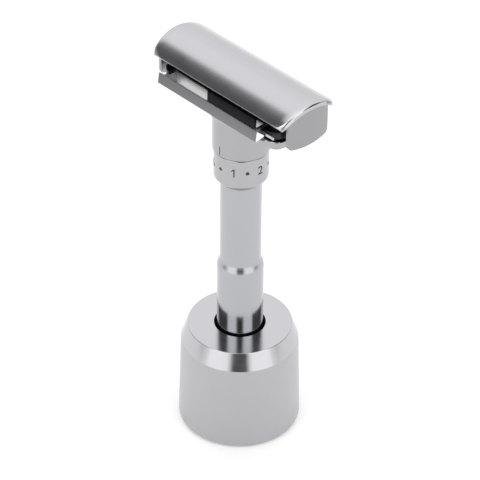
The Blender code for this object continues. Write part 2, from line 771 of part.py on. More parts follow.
def cap():
    """The clip-on cap: an arched cover longest at its crown, and a plate under each end."""
    made = cap_arch()
    keep_inside(made, slab("crown_plan", crown_plan(), PLATE_Z, CAP_TOP_Z + 5.0 * MM))
    for side, _ in SIDES:
        join(made, end_plate(side))
    return finish(made, SATIN_CHROME, 0.3)


def cap_post(side, label):
    """A stud under the cap that enters the blade support and the bed."""
    roof = CAP_AXIS_Z + math.sqrt((CAP_R - CAP_T) ** 2 - POST_R ** 2)
    made = rod("cap_post_" + label, POST_R, BED_Z + 0.5 * MM, roof - 0.1 * MM, x=side * POST_X)
    return finish(made, POLISHED_CHROME, 0.2)


def build():
    stand_shell()
    stand_liner()
    stand_ballast()
    stand_base_plate()
    stand_base_screw()
    stand_foot_pad()
    handle_tube()
    handle_end_plug()
    adjuster_bush()
    thrust_washer()
    guard_head()
    tray_insert()
    retaining_clip()
    detent_ball()
    detent_spring()
    adjuster_stem()
    return_spring()
    bed_carrier()
    bed_screw()
    cap()
    for side, label in SIDES:
        guide_pin(side, label)
        blade_support(side, label)
        catch_spring(side, label)
        cap_post(side, label)


build()
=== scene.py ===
"""Looks of the adjustable safety razor in its turned metal stand.

The visible shells are rebuilt here with rounded edges on the CAD frame's own sizes, and every
piece gets a procedural material. Z is up and the head's long side runs along X.
"""
import math

import bmesh
import bpy
from mathutils import Matrix, Vector


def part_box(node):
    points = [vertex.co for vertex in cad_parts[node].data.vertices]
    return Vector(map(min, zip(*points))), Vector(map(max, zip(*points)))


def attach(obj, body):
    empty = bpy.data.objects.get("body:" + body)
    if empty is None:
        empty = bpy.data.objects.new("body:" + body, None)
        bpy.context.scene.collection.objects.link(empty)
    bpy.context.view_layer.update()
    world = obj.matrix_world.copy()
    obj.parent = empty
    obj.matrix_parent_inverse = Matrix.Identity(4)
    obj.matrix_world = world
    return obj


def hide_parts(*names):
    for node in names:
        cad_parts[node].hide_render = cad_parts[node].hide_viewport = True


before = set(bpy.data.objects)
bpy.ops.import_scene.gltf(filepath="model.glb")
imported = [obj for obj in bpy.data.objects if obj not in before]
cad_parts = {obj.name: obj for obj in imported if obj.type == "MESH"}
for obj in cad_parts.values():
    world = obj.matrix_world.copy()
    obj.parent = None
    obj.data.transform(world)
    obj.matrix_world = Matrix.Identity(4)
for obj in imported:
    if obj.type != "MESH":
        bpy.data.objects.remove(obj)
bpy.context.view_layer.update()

MM = 0.001
GAP = 0.3 * MM
WELD = 0.0002 * MM                  # points closer than this are made one
SHARP_ANGLE = 38.0                  # edges bent by more degrees than this stay sharp
SIDES = ((-1, "left"), (1, "right"))


def top_of(node):
    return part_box(node)[1]


def foot_of(node):
    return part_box(node)[0]


# ---------------------------------------------------------------- sizes, from the frame

STAND_TOP_Z = top_of("stand_shell").z
STAND_LOW_Z = foot_of("stand_shell").z
FOOT_R = top_of("stand_shell").x
TOP_R = FOOT_R - 2.58 * MM
SHOULDER_R = FOOT_R - 0.74 * MM
SHOULDER_Z = STAND_TOP_Z - 4.95 * MM
HOLE_R = 6.96 * MM
PAD_R = top_of("stand_foot_pad").x
LINER_R = top_of("stand_liner").x
LINER_TOP_Z = top_of("stand_liner").z
BASE_TOP_Z = top_of("stand_base_plate").z

DIAL_R = top_of("handle_tube").x
DIAL_TOP_Z = top_of("handle_tube").z
TUBE_FOOT_Z = foot_of("handle_tube").z
HANDLE_R = DIAL_R - 0.95 * MM
NECKED_R = DIAL_R - 1.72 * MM
DIAL_Z = DIAL_TOP_Z - 8.31 * MM
DIAL_TAPER_Z = DIAL_Z - 1.8 * MM
NECKED_Z = DIAL_TOP_Z - 34.43 * MM
STEP_Z = NECKED_Z - 3.43 * MM

NECK_Z = DIAL_TOP_Z + GAP
NECK_R = 7.58 * MM
SPIGOT_Z = foot_of("guard_head").z
SPIGOT_R = 5.4 * MM
BORE_R = 4.2 * MM
BAR_HALF_X = 18.24 * MM
BAR_Y = top_of("guard_head").y
BAR_TOP_Z = top_of("guard_head").z
BAR_Z = BAR_TOP_Z - 2.87 * MM
BAR_INNER_Y = BAR_Y - 2.95 * MM
SLAB_Z = BAR_TOP_Z - 6.22 * MM
SLAB_TOP_Z = SLAB_Z + 2.2 * MM
SLAB_HALF_X = top_of("guard_head").x
SLAB_HALF_Y = 8.2 * MM
WALL_X = 16.6 * MM
WALL_T = 1.0 * MM

CAP_HALF_X = top_of("cap").x
CAP_HALF_Y = top_of("cap").y
CAP_TOP_Z = top_of("cap").z
CAP_R = 13.57 * MM
CAP_AXIS_Z = CAP_TOP_Z - CAP_R
CAP_T = 1.35 * MM
CAP_PLAN_R = 32.0 * MM
CAP_CORNER_R = 2.6 * MM
PLAN_R = 17.0 * MM
PLATE_Z = foot_of("cap").z
PLATE_HALF_Y = 6.7 * MM
PLATE_INSET = 0.4 * MM
PLATE_T = 0.9 * MM
PLATE_LOW_R = 34.0 * MM
PLATE_CORNER_R = 1.4 * MM

BED_Z = foot_of("bed_carrier").z
BLOCK_END_X = top_of("bed_carrier").x
BLOCK_HALF_Y = top_of("bed_carrier").y
BLOCK_TOP_Z = BED_Z + 1.9 * MM
BLOCK_X = 17.5 * MM
SPINE_HALF_Y = 5.6 * MM
HUB_HALF_X = 7.2 * MM
HUB_HALF_Y = 5.4 * MM
SUPPORT_END_X = 15.75 * MM
INSERT_STOP_X = top_of("tray_insert").x
INSERT_START_X = -4.0 * MM
CHEEK_Y = top_of("tray_insert").y
CHEEK_T = 0.6 * MM
CHEEK_TOP_Z = top_of("tray_insert").z - 0.2 * MM
FINGER_Y = 9.15 * MM
FINGER_T = 0.3 * MM
FINGER_Z = 105.5 * MM
FINGER_TOP_Z = 106.2 * MM
FINGER_END_X = 21.2 * MM
SUPPORT_R = CAP_R - CAP_T - 0.5 * MM

# ---------------------------------------------------------------- materials

CHROME = (0.500, 0.498, 0.518)
COOL_CHROME = (0.440, 0.450, 0.470)
BRIGHT = (0.640, 0.645, 0.660)
MIRROR = (0.900, 0.900, 0.900)
STEEL = (0.50, 0.50, 0.51)
BRASS = (0.66, 0.48, 0.20)
IRON = (0.16, 0.16, 0.165)
BLACK = (0.005, 0.005, 0.007)
RUBBER = (0.020, 0.020, 0.021)
PAINT = (0.020, 0.021, 0.024)
CLOUD = 170.0                       # the noises' scales, in repeats to a metre
FROST = 9000.0
LATHE_CLOUD = 220.0
POLISH_CLOUD = 300.0
POLISH_MARKS = (900.0, 6000.0, 6000.0)
MOULD_CLOUD = 150.0
SAND = 1500.0


class Graph:
    """Short names for building a material's nodes."""

    def __init__(self, tree):
        self.tree = tree

    def node(self, kind, **values):
        made = self.tree.nodes.new(kind)
        for key, value in values.items():
            setattr(made, key, value)
        return made

    def feed(self, socket, value):
        if isinstance(value, bpy.types.NodeSocket):
            self.tree.links.new(value, socket)
        else:
            socket.default_value = value

    def math(self, operation, *values):
        made = self.node("ShaderNodeMath", operation=operation)
        for socket, value in zip(made.inputs, values):
            self.feed(socket, value)
        return made.outputs[0]

    def noise(self, vector, scale, detail=2.0, roughness=0.5):
        made = self.node("ShaderNodeTexNoise")
        self.feed(made.inputs["Vector"], vector)
        self.feed(made.inputs["Scale"], scale)
        self.feed(made.inputs["Detail"], detail)
        self.feed(made.inputs["Roughness"], roughness)
        return made.outputs["Fac"]

    def remap(self, value, low, high, to_low, to_high, smooth=False):
        made = self.node("ShaderNodeMapRange")
        made.interpolation_type = "SMOOTHSTEP" if smooth else "LINEAR"
        for socket, given in zip(made.inputs, (value, low, high, to_low, to_high)):
            self.feed(socket, given)
        return made.outputs[0]

    def tint(self, share, first, second):
        made = self.node("ShaderNodeMix", data_type="RGBA")
        self.feed(made.inputs["Factor"], share)
        colours = [s for s in made.inputs if s.type == "RGBA"]
        self.feed(colours[0], (*first, 1.0))
        self.feed(colours[1], (*second, 1.0))
        return [s for s in made.outputs if s.type == "RGBA"][0]

    def bump(self, height, strength, distance, normal=None):
        made = self.node("ShaderNodeBump")
        self.feed(made.inputs["Strength"], strength)
        self.feed(made.inputs["Distance"], distance)
        self.feed(made.inputs["Height"], height)
        if normal is not None:
            self.feed(made.inputs["Normal"], normal)
        return made.outputs["Normal"]


def new_material(name, metallic):
    made = bpy.data.materials.new(name)
    made.use_nodes = True
    shader = made.node_tree.nodes["Principled BSDF"]
    shader.inputs["Metallic"].default_value = metallic
    return made, Graph(made.node_tree), shader


def place_of(graph):
    return graph.node("ShaderNodeTexCoord").outputs["Object"]


def shade(colour, share):
    return tuple(channel * share for channel in colour)


def satin_metal(name, colour, roughness, grain=0.25):
    """Blasted and plated metal: a fine frosted grain with faint cloudy changes in gloss."""
    made, graph, shader = new_material(name, 1.0)
    place = place_of(graph)
    cloud = graph.noise(place, CLOUD, 3.0)
    fine = graph.noise(place, FROST, 2.0, 0.6)
    tone = graph.tint(cloud, shade(colour, 0.975), shade(colour, 1.025))
    graph.feed(shader.inputs["Base Color"], tone)
    frosted = graph.remap(fine, 0.3, 0.7, roughness - 0.03, roughness + 0.03)
    gloss = graph.remap(cloud, 0.3, 0.7, -0.015, 0.015)
    graph.feed(shader.inputs["Roughness"], graph.math("ADD", frosted, gloss))
    graph.feed(shader.inputs["Normal"], graph.bump(fine, grain, 0.004 * MM))
    return made


def turned_metal(name, colour, roughness, axis, pitch=0.09 * MM, depth=0.35):
    """Metal with the fine rings that a lathe tool leaves: across the radius or along the height."""
    made, graph, shader = new_material(name, 1.0)
    place = place_of(graph)
    split = graph.node("ShaderNodeSeparateXYZ")
    graph.feed(split.inputs[0], place)
    if axis == "radius":
        squares = [graph.math("POWER", split.outputs[index], 2.0) for index in (0, 1)]
        along = graph.math("SQRT", graph.math("ADD", *squares))
    else:
        along = split.outputs[2]
    line = graph.node("ShaderNodeTexNoise", noise_dimensions="1D")
    graph.feed(line.inputs["W"], along)
    graph.feed(line.inputs["Scale"], 1.0 / pitch)
    graph.feed(line.inputs["Detail"], 2.0)
    rings = line.outputs["Fac"]
    cloud = graph.noise(place, LATHE_CLOUD, 2.0)
    graph.feed(shader.inputs["Base Color"], graph.tint(rings, shade(colour, 0.97), shade(colour, 1.03)))
    gloss = graph.remap(cloud, 0.3, 0.7, roughness - 0.02, roughness + 0.02)
    graph.feed(shader.inputs["Roughness"], gloss)
    graph.feed(shader.inputs["Normal"], graph.bump(rings, depth, 0.002 * MM))
    return made


def polished_metal(name, colour, roughness):
    """Bright metal with hairline polishing marks in its gloss."""
    made, graph, shader = new_material(name, 1.0)
    place = place_of(graph)
    stretch = graph.node("ShaderNodeMapping")
    graph.feed(stretch.inputs["Vector"], place)
    stretch.inputs["Scale"].default_value = POLISH_MARKS
    marks = graph.noise(stretch.outputs[0], 1.0, 2.0)
    cloud = graph.noise(place, POLISH_CLOUD, 2.0)
    graph.feed(shader.inputs["Base Color"], graph.tint(cloud, shade(colour, 0.98), shade(colour, 1.02)))
    gloss = graph.remap(marks, 0.3, 0.7, roughness * 0.7, roughness * 1.3)
    graph.feed(shader.inputs["Roughness"], gloss)
    graph.feed(shader.inputs["Normal"], graph.bump(marks, 0.08, 0.001 * MM))
    return made


def moulded(name, colour, roughness, grain=0.3, size=2600.0, shine=0.5):
    """Moulded plastic or rubber with a fine pebbled skin."""
    made, graph, shader = new_material(name, 0.0)
    shader.inputs["Specular IOR Level"].default_value = shine
    place = place_of(graph)
    pebbles = graph.noise(place, size, 3.0, 0.55)
    cloud = graph.noise(place, MOULD_CLOUD, 2.0)
    graph.feed(shader.inputs["Base Color"], graph.tint(cloud, shade(colour, 0.8), shade(colour, 1.3)))
    gloss = graph.remap(pebbles, 0.3, 0.7, roughness - 0.06, roughness + 0.06)
    graph.feed(shader.inputs["Roughness"], gloss)
    graph.feed(shader.inputs["Normal"], graph.bump(pebbles, grain, 0.01 * MM))
    return made


def cast_iron(name):
    made, graph, shader = new_material(name, 1.0)
    place = place_of(graph)
    sand = graph.noise(place, SAND, 4.0, 0.65)
    graph.feed(shader.inputs["Base Color"], graph.tint(sand, shade(IRON, 0.7), shade(IRON, 1.3)))
    graph.feed(shader.inputs["Roughness"], graph.remap(sand, 0.3, 0.7, 0.6, 0.8))
    graph.feed(shader.inputs["Normal"], graph.bump(sand, 0.5, 0.05 * MM))
    return made


LOOK = {
    "stand_side": satin_metal("stand_side", shade(CHROME, 0.90), 0.30),
    "stand_top": turned_metal("stand_top", CHROME, 0.17, "radius", depth=0.2),
    "stand_chamfer": turned_metal("stand_chamfer", CHROME, 0.14, "height", depth=0.12),
    "handle": satin_metal("handle", shade(COOL_CHROME, 0.97), 0.15, 0.12),
    "dial": satin_metal("dial", shade(CHROME, 0.86), 0.22),
    "neck": satin_metal("neck", shade(CHROME, 0.80), 0.24),
    # Bars and end walls: the head's own chrome darkened to a 0.55 share, painted shade on the same
    # metal as the neck and slab.
    "guard": satin_metal("guard", shade(CHROME, 0.55), 0.24),
    "cut_end": polished_metal("cut_end", MIRROR, 0.10),
    "cap": satin_metal("cap", CHROME, 0.22),
    # End plates: the cap's own chrome darkened to a 0.66 share, painted shade on the same metal as the
    # cover.
    "cap_plate": satin_metal("cap_plate", shade(CHROME, 0.66), 0.24),
    "cap_bevel": polished_metal("cap_bevel", CHROME, 0.12),
    "bright": polished_metal("bright", BRIGHT, 0.12),
    # Cheeks and fingers: a whiter copy of the tray's metal, a painted highlight in the slot.
    "cheek": satin_metal("cheek", shade(MIRROR, 0.72), 0.45),
    "steel": polished_metal("steel", STEEL, 0.24),
    "spring": polished_metal("spring", STEEL, 0.30),
    "brass": turned_metal("brass", BRASS, 0.32, "height"),
    "iron": cast_iron("iron"),
    "nylon": moulded("nylon", BLACK, 0.32, 0.12),
    "sheet": moulded("sheet", BLACK, 0.50, 0.10, shine=0.12),
    "liner": moulded("liner", BLACK, 0.50),
    "rubber": moulded("rubber", RUBBER, 0.85, 0.5, 1800.0),
    "paint": moulded("paint", PAINT, 0.55, 0.1),
}


# ---------------------------------------------------------------- mesh helpers

def arc(centre, radius, start, stop, count):
    """Points on a circle from one angle to another, in degrees."""
    spots = []
    for index in range(count + 1):
        angle = math.radians(start + (stop - start) * index / count)
        spots.append((centre[0] + radius * math.cos(angle), centre[1] + radius * math.sin(angle)))
    return spots


def eased(corners, count=5, closed=True):
    """Round each corner (a, b, ease, ...) over the length ease along both of its sides."""
    total = len(corners)
    spots = []
    for index, corner in enumerate(corners):
        here = Vector(corner[:2])
        ease = corner[2]
        rest = tuple(corner[3:])
        at_end = not closed and index in (0, total - 1)
        if ease <= 0.0 or at_end:
            spots.append((here.x, here.y, *rest))
            continue
        before = Vector(corners[index - 1][:2]) - here
        after = Vector(corners[(index + 1) % total][:2]) - here
        reach = min(ease, before.length * 0.49, after.length * 0.49)
        start = here + before.normalized() * reach
        stop = here + after.normalized() * reach
        for step in range(count + 1):
            share = step / count
            spot = start * (1 - share) ** 2 + here * 2 * share * (1 - share) + stop * share ** 2
            spots.append((spot.x, spot.y, *rest))
    return spots


def tidy(mesh, sharp=SHARP_ANGLE):
    work = bmesh.new()
    work.from_mesh(mesh)
    bmesh.ops.remove_doubles(work, verts=work.verts, dist=WELD)
    bmesh.ops.recalc_face_normals(work, faces=work.faces)
    work.to_mesh(mesh)
    work.free()
    mesh.shade_smooth()
    mesh.set_sharp_from_angle(angle=math.radians(sharp))


def show(name, mesh, looks, body, slot, *nodes):
    """Put a finished mesh on its body, with its materials, and hide the CAD nodes it stands for; slot
    is not used.
    """
    made = bpy.data.objects.new(name, mesh)
    bpy.context.scene.collection.objects.link(made)
    for look in looks:
        mesh.materials.append(LOOK[look])
    weighted = made.modifiers.new("Weighted", "WEIGHTED_NORMAL")
    weighted.keep_sharp = True
    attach(made, body)
    if nodes:
        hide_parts(*nodes)
    return made


def lathe(name, corners, steps=192):
    """Turn a closed profile of (radius, height, ease, finish) corners about Z."""
    profile = eased(corners)
    total = len(profile)
    verts = []
    faces = []
    finishes = []
    for step in range(steps):
        angle = 2 * math.pi * step / steps
        for radius, height, _ in profile:
            verts.append((radius * math.cos(angle), radius * math.sin(angle), height))
    for step in range(steps):
        here = step * total
        there = (step + 1) % steps * total
        for index in range(total):
            after = (index + 1) % total
            faces.append((here + index, there + index, there + after, here + after))
            finishes.append(profile[index][2])
    mesh = bpy.data.meshes.new(name)
    mesh.from_pydata(verts, [], faces)
    mesh.polygons.foreach_set("material_index", finishes)
    tidy(mesh)
    return mesh


def plate(name, outline, low, high, plane, ease=0.15 * MM, segments=3):
    """An outline with a thickness along its plane's normal and rounded rims."""
    work = bmesh.new()
    if plane == "XY":
        verts = [work.verts.new((a, b, low)) for a, b in outline]
        move = (0.0, 0.0, high - low)
    else:                           # outline in (Y, Z), thickness along X
        verts = [work.verts.new((low, a, b)) for a, b in outline]
        move = (high - low, 0.0, 0.0)
    face = work.faces.new(verts)
    grown = bmesh.ops.extrude_face_region(work, geom=[face])
    raised = [part for part in grown["geom"] if isinstance(part, bmesh.types.BMVert)]
    bmesh.ops.translate(work, vec=move, verts=raised)
    bmesh.ops.recalc_face_normals(work, faces=work.faces)
    if ease > 0.0:
        edges = [e for e in work.edges if e.calc_face_angle(0.0) > math.radians(30.0)]
        bmesh.ops.bevel(work, geom=edges, offset=ease, segments=segments, profile=0.5,
                        affect="EDGES", clamp_overlap=True)
    mesh = bpy.data.meshes.new(name)
    work.to_mesh(mesh)
    work.free()
    tidy(mesh)
    return mesh


def merged(name, meshes):
    """Several meshes as one."""
    work = bmesh.new()
    for mesh in meshes:
        work.from_mesh(mesh)
    for mesh in meshes:
        bpy.data.meshes.remove(mesh)
    made = bpy.data.meshes.new(name)
    work.to_mesh(made)
    work.free()
    made.shade_smooth()
    made.set_sharp_from_angle(angle=math.radians(SHARP_ANGLE))
    return made


def paint_faces(mesh, test, finish):
    """Give the faces that pass the test another of the piece's materials."""
    for face in mesh.polygons:
        if test(face):
            face.material_index = finish


def end_outline(half_x, half_y, corner, count=16):
    """Outline seen from above whose two ends are arcs of PLAN_R, with rounded corners."""
    reach = half_y - corner
    swing = math.degrees(math.asin(reach / PLAN_R))
    middle = arc((half_x - PLAN_R, 0.0), PLAN_R, -swing, swing, count)
    edge_x = middle[-1][0]
    inner = (edge_x - corner * math.cos(math.radians(swing)), reach)
    upper = arc(inner, corner, swing + 8.0, 90.0, 9)
    right = [(x, -y) for x, y in reversed(upper)] + middle + upper
    return right


def both_ends(right):
    return right + [(-x, -y) for x, y in right]


# ---------------------------------------------------------------- stand

def stand_body():
    lip = 0.15 * MM
    edge = 0.8 * MM
    room_r = 15.0 * MM
    roof = STAND_LOW_Z + 24.2 * MM
    corners = [
        (HOLE_R, STAND_TOP_Z, lip, 1),
        (TOP_R, STAND_TOP_Z, 0.14 * MM, 2),
        (SHOULDER_R, SHOULDER_Z, 0.12 * MM, 0),
        (FOOT_R, STAND_LOW_Z + edge, edge, 0),
        (FOOT_R - edge, STAND_LOW_Z, 0.2 * MM, 0),
        (PAD_R + GAP, STAND_LOW_Z, 0.1 * MM, 0),
        (PAD_R + GAP, BASE_TOP_Z + GAP, 0.0, 0),
        (room_r, BASE_TOP_Z + GAP, 0.0, 0),
        (room_r, roof, 0.0, 0),
        (LINER_R + GAP, roof, 0.0, 0),
        (LINER_R + GAP, LINER_TOP_Z + GAP, 0.0, 0),
        (HOLE_R, LINER_TOP_Z + GAP, 0.0, 0),
    ]
    mesh = lathe("stand_body", corners, 256)
    show("stand_body", mesh, ("stand_side", "stand_top", "stand_chamfer"), "stand", "stand_metal",
         "stand_shell")


# ---------------------------------------------------------------- handle

def grip_step(count=14):
    """The soft step from the necked grip down to the thick foot."""
    corners = []
    for index in range(count + 1):
        share = index / count
        swell = share * share * (3 - 2 * share)
        radius = NECKED_R + (HANDLE_R - NECKED_R) * swell
        corners.append((radius, NECKED_Z + (STEP_Z - NECKED_Z) * share, 0.0, 0))
    return corners


def handle_body():
    edge = 0.25 * MM
    dial_bore = 5.75 * MM
    plug_bore = top_of("handle_end_plug").z + GAP
    plug_r = 4.55 * MM
    tube_r = 3.6 * MM
    bush_low, bush_high = foot_of("adjuster_bush").z, top_of("adjuster_bush").z
    bush_r = top_of("adjuster_bush").x + GAP
    groove_r = top_of("retaining_clip").x + 0.35 * MM
    groove_low = foot_of("retaining_clip").z - GAP
    groove_high = top_of("retaining_clip").z + GAP
    corners = [
        (dial_bore, DIAL_TOP_Z, 0.1 * MM, 1),
        (DIAL_R, DIAL_TOP_Z, edge, 1),
        (DIAL_R, DIAL_Z, 0.5 * MM, 1),
        (NECKED_R, DIAL_TAPER_Z, 0.18 * MM, 0),
    ]
    corners += grip_step()
    corners += [
        (HANDLE_R, TUBE_FOOT_Z, edge, 0),
        (plug_r, TUBE_FOOT_Z, 0.0, 0),
        (plug_r, plug_bore, 0.0, 0),
        (tube_r, plug_bore, 0.0, 0),
        (tube_r, bush_low - GAP, 0.0, 0),
        (bush_r, bush_low - GAP, 0.0, 0),
        (bush_r, bush_high + GAP, 0.0, 0),
        (dial_bore, bush_high + GAP, 0.0, 0),
        (dial_bore, groove_low, 0.0, 0),
        (groove_r, groove_low, 0.0, 0),
        (groove_r, groove_high, 0.0, 0),
        (dial_bore, groove_high, 0.0, 0),
    ]
    show("handle_body", lathe("handle_body", corners), ("handle", "dial"), "handle", "handle_chrome",
         "handle_tube")


DIAL_MARK_Z = 85.1 * MM
DIAL_STEPS = 12
DIGIT_HEIGHT = 2.55 * MM
FONT_RISE = 0.7                     # a number's height over the font's size
DOT_R = 0.5 * MM
MARK_SINK = 0.06 * MM
MARK_PROUD = 0.012 * MM


def flat_one():
    """The number 1 with a plain flag, as a flat solid in the XY plane."""
    shape = ((0.04, -0.5), (0.17, -0.5), (0.17, 0.5), (0.07, 0.5), (-0.18, 0.28), (-0.18, 0.13),
             (0.04, 0.31))
    half = (MARK_SINK + MARK_PROUD) / 2
    outline = [(x * DIGIT_HEIGHT, y * DIGIT_HEIGHT) for x, y in shape]
    return plate("one", outline, -half, half, "XY", 0.0)


def flat_digit(text):
    """A number as a flat solid in the XY plane, centred on its own middle."""
    if text == "1":
        return flat_one()
    curve = bpy.data.curves.new("digit", "FONT")
    curve.body = text
    curve.size = DIGIT_HEIGHT / FONT_RISE
    curve.offset = 0.012 * DIGIT_HEIGHT
    curve.extrude = (MARK_SINK + MARK_PROUD) / 2
    curve.resolution_u = 6
    holder = bpy.data.objects.new("digit", curve)
    bpy.context.scene.collection.objects.link(holder)
    graph = bpy.context.evaluated_depsgraph_get()
    mesh = bpy.data.meshes.new_from_object(holder.evaluated_get(graph))
    bpy.data.objects.remove(holder, do_unlink=True)
    xs = [v.co.x for v in mesh.vertices]
    ys = [v.co.y for v in mesh.vertices]
    middle = ((min(xs) + max(xs)) / 2, (min(ys) + max(ys)) / 2)
    scale = DIGIT_HEIGHT / (max(ys) - min(ys))
    mesh.transform(Matrix.Translation((-middle[0], -middle[1], 0.0)))
    mesh.transform(Matrix.Diagonal((scale, scale, 1.0, 1.0)))
    return mesh


def flat_dot():
    work = bmesh.new()
    bmesh.ops.create_cone(work, cap_ends=True, segments=28, radius1=DOT_R, radius2=DOT_R,
                          depth=MARK_SINK + MARK_PROUD)
    mesh = bpy.data.meshes.new("dot")
    work.to_mesh(mesh)
    work.free()
    return mesh


def wrapped(mesh, radius, turn, height):
    """Bend a flat mark round a cylinder, its middle at an angle from -Y and a height."""
    work = bmesh.new()
    work.from_mesh(mesh)
    bpy.data.meshes.remove(mesh)
    bmesh.ops.remove_doubles(work, verts=work.verts, dist=0.001 * MM)
    reach = max(abs(v.co.x) for v in work.verts)
    strips = 12
    for index in range(1, strips):
        x = reach * (2 * index / strips - 1)
        everything = work.verts[:] + work.edges[:] + work.faces[:]
        bmesh.ops.bisect_plane(work, geom=everything, plane_co=(x, 0.0, 0.0), plane_no=(1.0, 0.0, 0.0))
    middle = radius + (MARK_PROUD - MARK_SINK) / 2
    for vert in work.verts:
        angle = vert.co.x / radius + turn - math.pi / 2
        out = middle + vert.co.z
        vert.co = (out * math.cos(angle), out * math.sin(angle), height + vert.co.y)
    made = bpy.data.meshes.new("mark")
    work.to_mesh(made)
    work.free()
    return made


def dial_marks():
    """Numbers 1 to 6 with a dot between each, counting up anticlockwise seen from above."""
    marks = []
    for step in range(DIAL_STEPS):
        number = (step + 1) // 2
        flat = flat_digit(str(number)) if step % 2 else flat_dot()
        marks.append(wrapped(flat, DIAL_R, 2 * math.pi * step / DIAL_STEPS, DIAL_MARK_Z))
    mesh = merged("dial_marks", marks)
    show("dial_marks", mesh, ("paint",), "handle", "handle_chrome")


# ---------------------------------------------------------------- neck and guard

def neck():
    flare = 1.6 * MM
    tall = 1.7 * flare
    top = SLAB_Z + 0.5 * MM
    groove_r = 4.6 * MM
    groove_low = foot_of("retaining_clip").z - GAP
    groove_high = top_of("retaining_clip").z + GAP
    stem_bore = 2.95 * MM
    shoulder = 97.8 * MM
    corners = [(stem_bore, top, 0.0, 0), (NECK_R + flare, top, 0.0, 0)]
    for index in range(13):
        angle = math.pi / 2 * (1 - index / 12)
        radius = NECK_R + flare * (1 - math.cos(angle))
        corners.append((radius, SLAB_Z - tall * (1 - math.sin(angle)), 0.0, 0))
    corners += [
        (NECK_R, NECK_Z, 0.22 * MM, 0),
        (SPIGOT_R, NECK_Z, 0.0, 0),
        (SPIGOT_R, groove_high, 0.0, 0),
        (groove_r, groove_high, 0.0, 0),
        (groove_r, groove_low, 0.0, 0),
        (SPIGOT_R, groove_low, 0.0, 0),
        (SPIGOT_R, SPIGOT_Z, 0.0, 0),
        (BORE_R, SPIGOT_Z, 0.0, 0),
        (BORE_R, shoulder, 0.0, 0),
        (stem_bore, shoulder, 0.0, 0),
    ]
    show("neck", lathe("neck", corners), ("neck",), "head", "head_chrome", "guard_head")


def index_mark():
    """The thin engraved line on the neck that the dial's marks are read against."""
    half = 0.13 * MM
    work = bmesh.new()
    bmesh.ops.create_cube(work, size=1.0)
    bmesh.ops.scale(work, vec=(2 * half, 2.6 * MM, MARK_SINK + MARK_PROUD), verts=work.verts)
    mesh = bpy.data.meshes.new("line")
    work.to_mesh(mesh)
    work.free()
    mesh = wrapped(mesh, NECK_R, 0.0, NECK_Z + 1.75 * MM)
    tidy(mesh)
    show("index_mark", mesh, ("paint",), "head", "head_chrome")


def guard_slab():
    outline = both_ends(end_outline(SLAB_HALF_X, SLAB_HALF_Y, 3.0 * MM))
    mesh = plate("guard_slab", outline, SLAB_Z, SLAB_TOP_Z, "XY", 0.3 * MM)
    show("guard_slab", mesh, ("neck",), "head", "head_chrome", "guard_head")


def guard_bar(side, label):
    """One straight bar whose cut ends are polished."""
    lean = 0.45 * MM
    lip = 0.3 * MM
    outline = [(BAR_Y, BAR_Z), (BAR_Y - lean, BAR_TOP_Z), (BAR_Y - lean - lip, BAR_TOP_Z),
               (BAR_INNER_Y, BAR_Z + 0.9 * MM), (BAR_INNER_Y, BAR_Z + 0.4 * MM)]
    outline = [(side * y, z) for y, z in outline]
    mesh = plate("guard_bar_" + label, outline, -BAR_HALF_X, BAR_HALF_X, "YZ", 0.12 * MM)
    paint_faces(mesh, lambda face: abs(face.normal.x) > 0.9, 1)
    show("guard_bar_" + label, mesh, ("guard", "cut_end"), "head", "head_chrome", "guard_head")


def end_wall(side, label):
    half = BAR_Y - 0.65 * MM
    window = 6.2 * MM
    sill = BED_Z - 0.6 * MM
    shoulder = 7.9 * MM
    high = BAR_TOP_Z - 0.4 * MM
    outline = [(-half, BAR_Z + 0.3 * MM), (-shoulder, SLAB_Z + 1.0 * MM), (shoulder, SLAB_Z + 1.0 * MM),
               (half, BAR_Z + 0.3 * MM), (half, high), (window, high), (window, sill), (-window, sill),
               (-window, high), (-half, high)]
    x = side * WALL_X
    mesh = plate("guard_wall_" + label, outline, x - WALL_T / 2, x + WALL_T / 2, "YZ", 0.12 * MM)
    show("guard_wall_" + label, mesh, ("guard",), "head", "head_chrome", "guard_head")


def upright(sense, y, thick, start, stop, low, high):
    """A thin upright piece along X whose front leans back a little; sense turns it end for end."""
    lean = 0.3 * thick
    outline = [(sense * y, low), (sense * (y - lean), high), (sense * (y - thick), high),
               (sense * (y - thick), low)]
    low_x, high_x = sorted((-sense * start, -sense * stop))
    return plate("upright", outline, low_x, high_x, "YZ", 0.06 * MM, 2)


def tray_cheeks():
    """The tray's upright cheeks and a finger past two of its end walls, in a whiter metal colour that
    paints a highlight on them.
    """
    low = SLAB_TOP_Z - 0.2 * MM
    inner_x = WALL_X - WALL_T / 2
    outer_x = WALL_X + WALL_T / 2
    made = []
    for sense in (-1, 1):
        for start, stop in ((-inner_x, INSERT_START_X - GAP), (INSERT_STOP_X + GAP, inner_x)):
            made.append(upright(sense, CHEEK_Y, CHEEK_T, start, stop, low, CHEEK_TOP_Z))
        made.append(upright(sense, FINGER_Y, FINGER_T, outer_x, FINGER_END_X, FINGER_Z, FINGER_TOP_Z))
    show("tray_cheeks", merged("tray_cheeks", made), ("cheek",), "head", "head_chrome", "guard_head")


# ---------------------------------------------------------------- blade bed

def saddle_outline(low):
    """The outline across the bed, from the height low up to the curve that the blade lies on."""
    angle = math.degrees(math.acos(HUB_HALF_Y / SUPPORT_R))
    curve = arc((0.0, CAP_AXIS_Z), SUPPORT_R, angle, 180.0 - angle, 32)
    return [(HUB_HALF_Y, low)] + curve + [(-HUB_HALF_Y, low)]


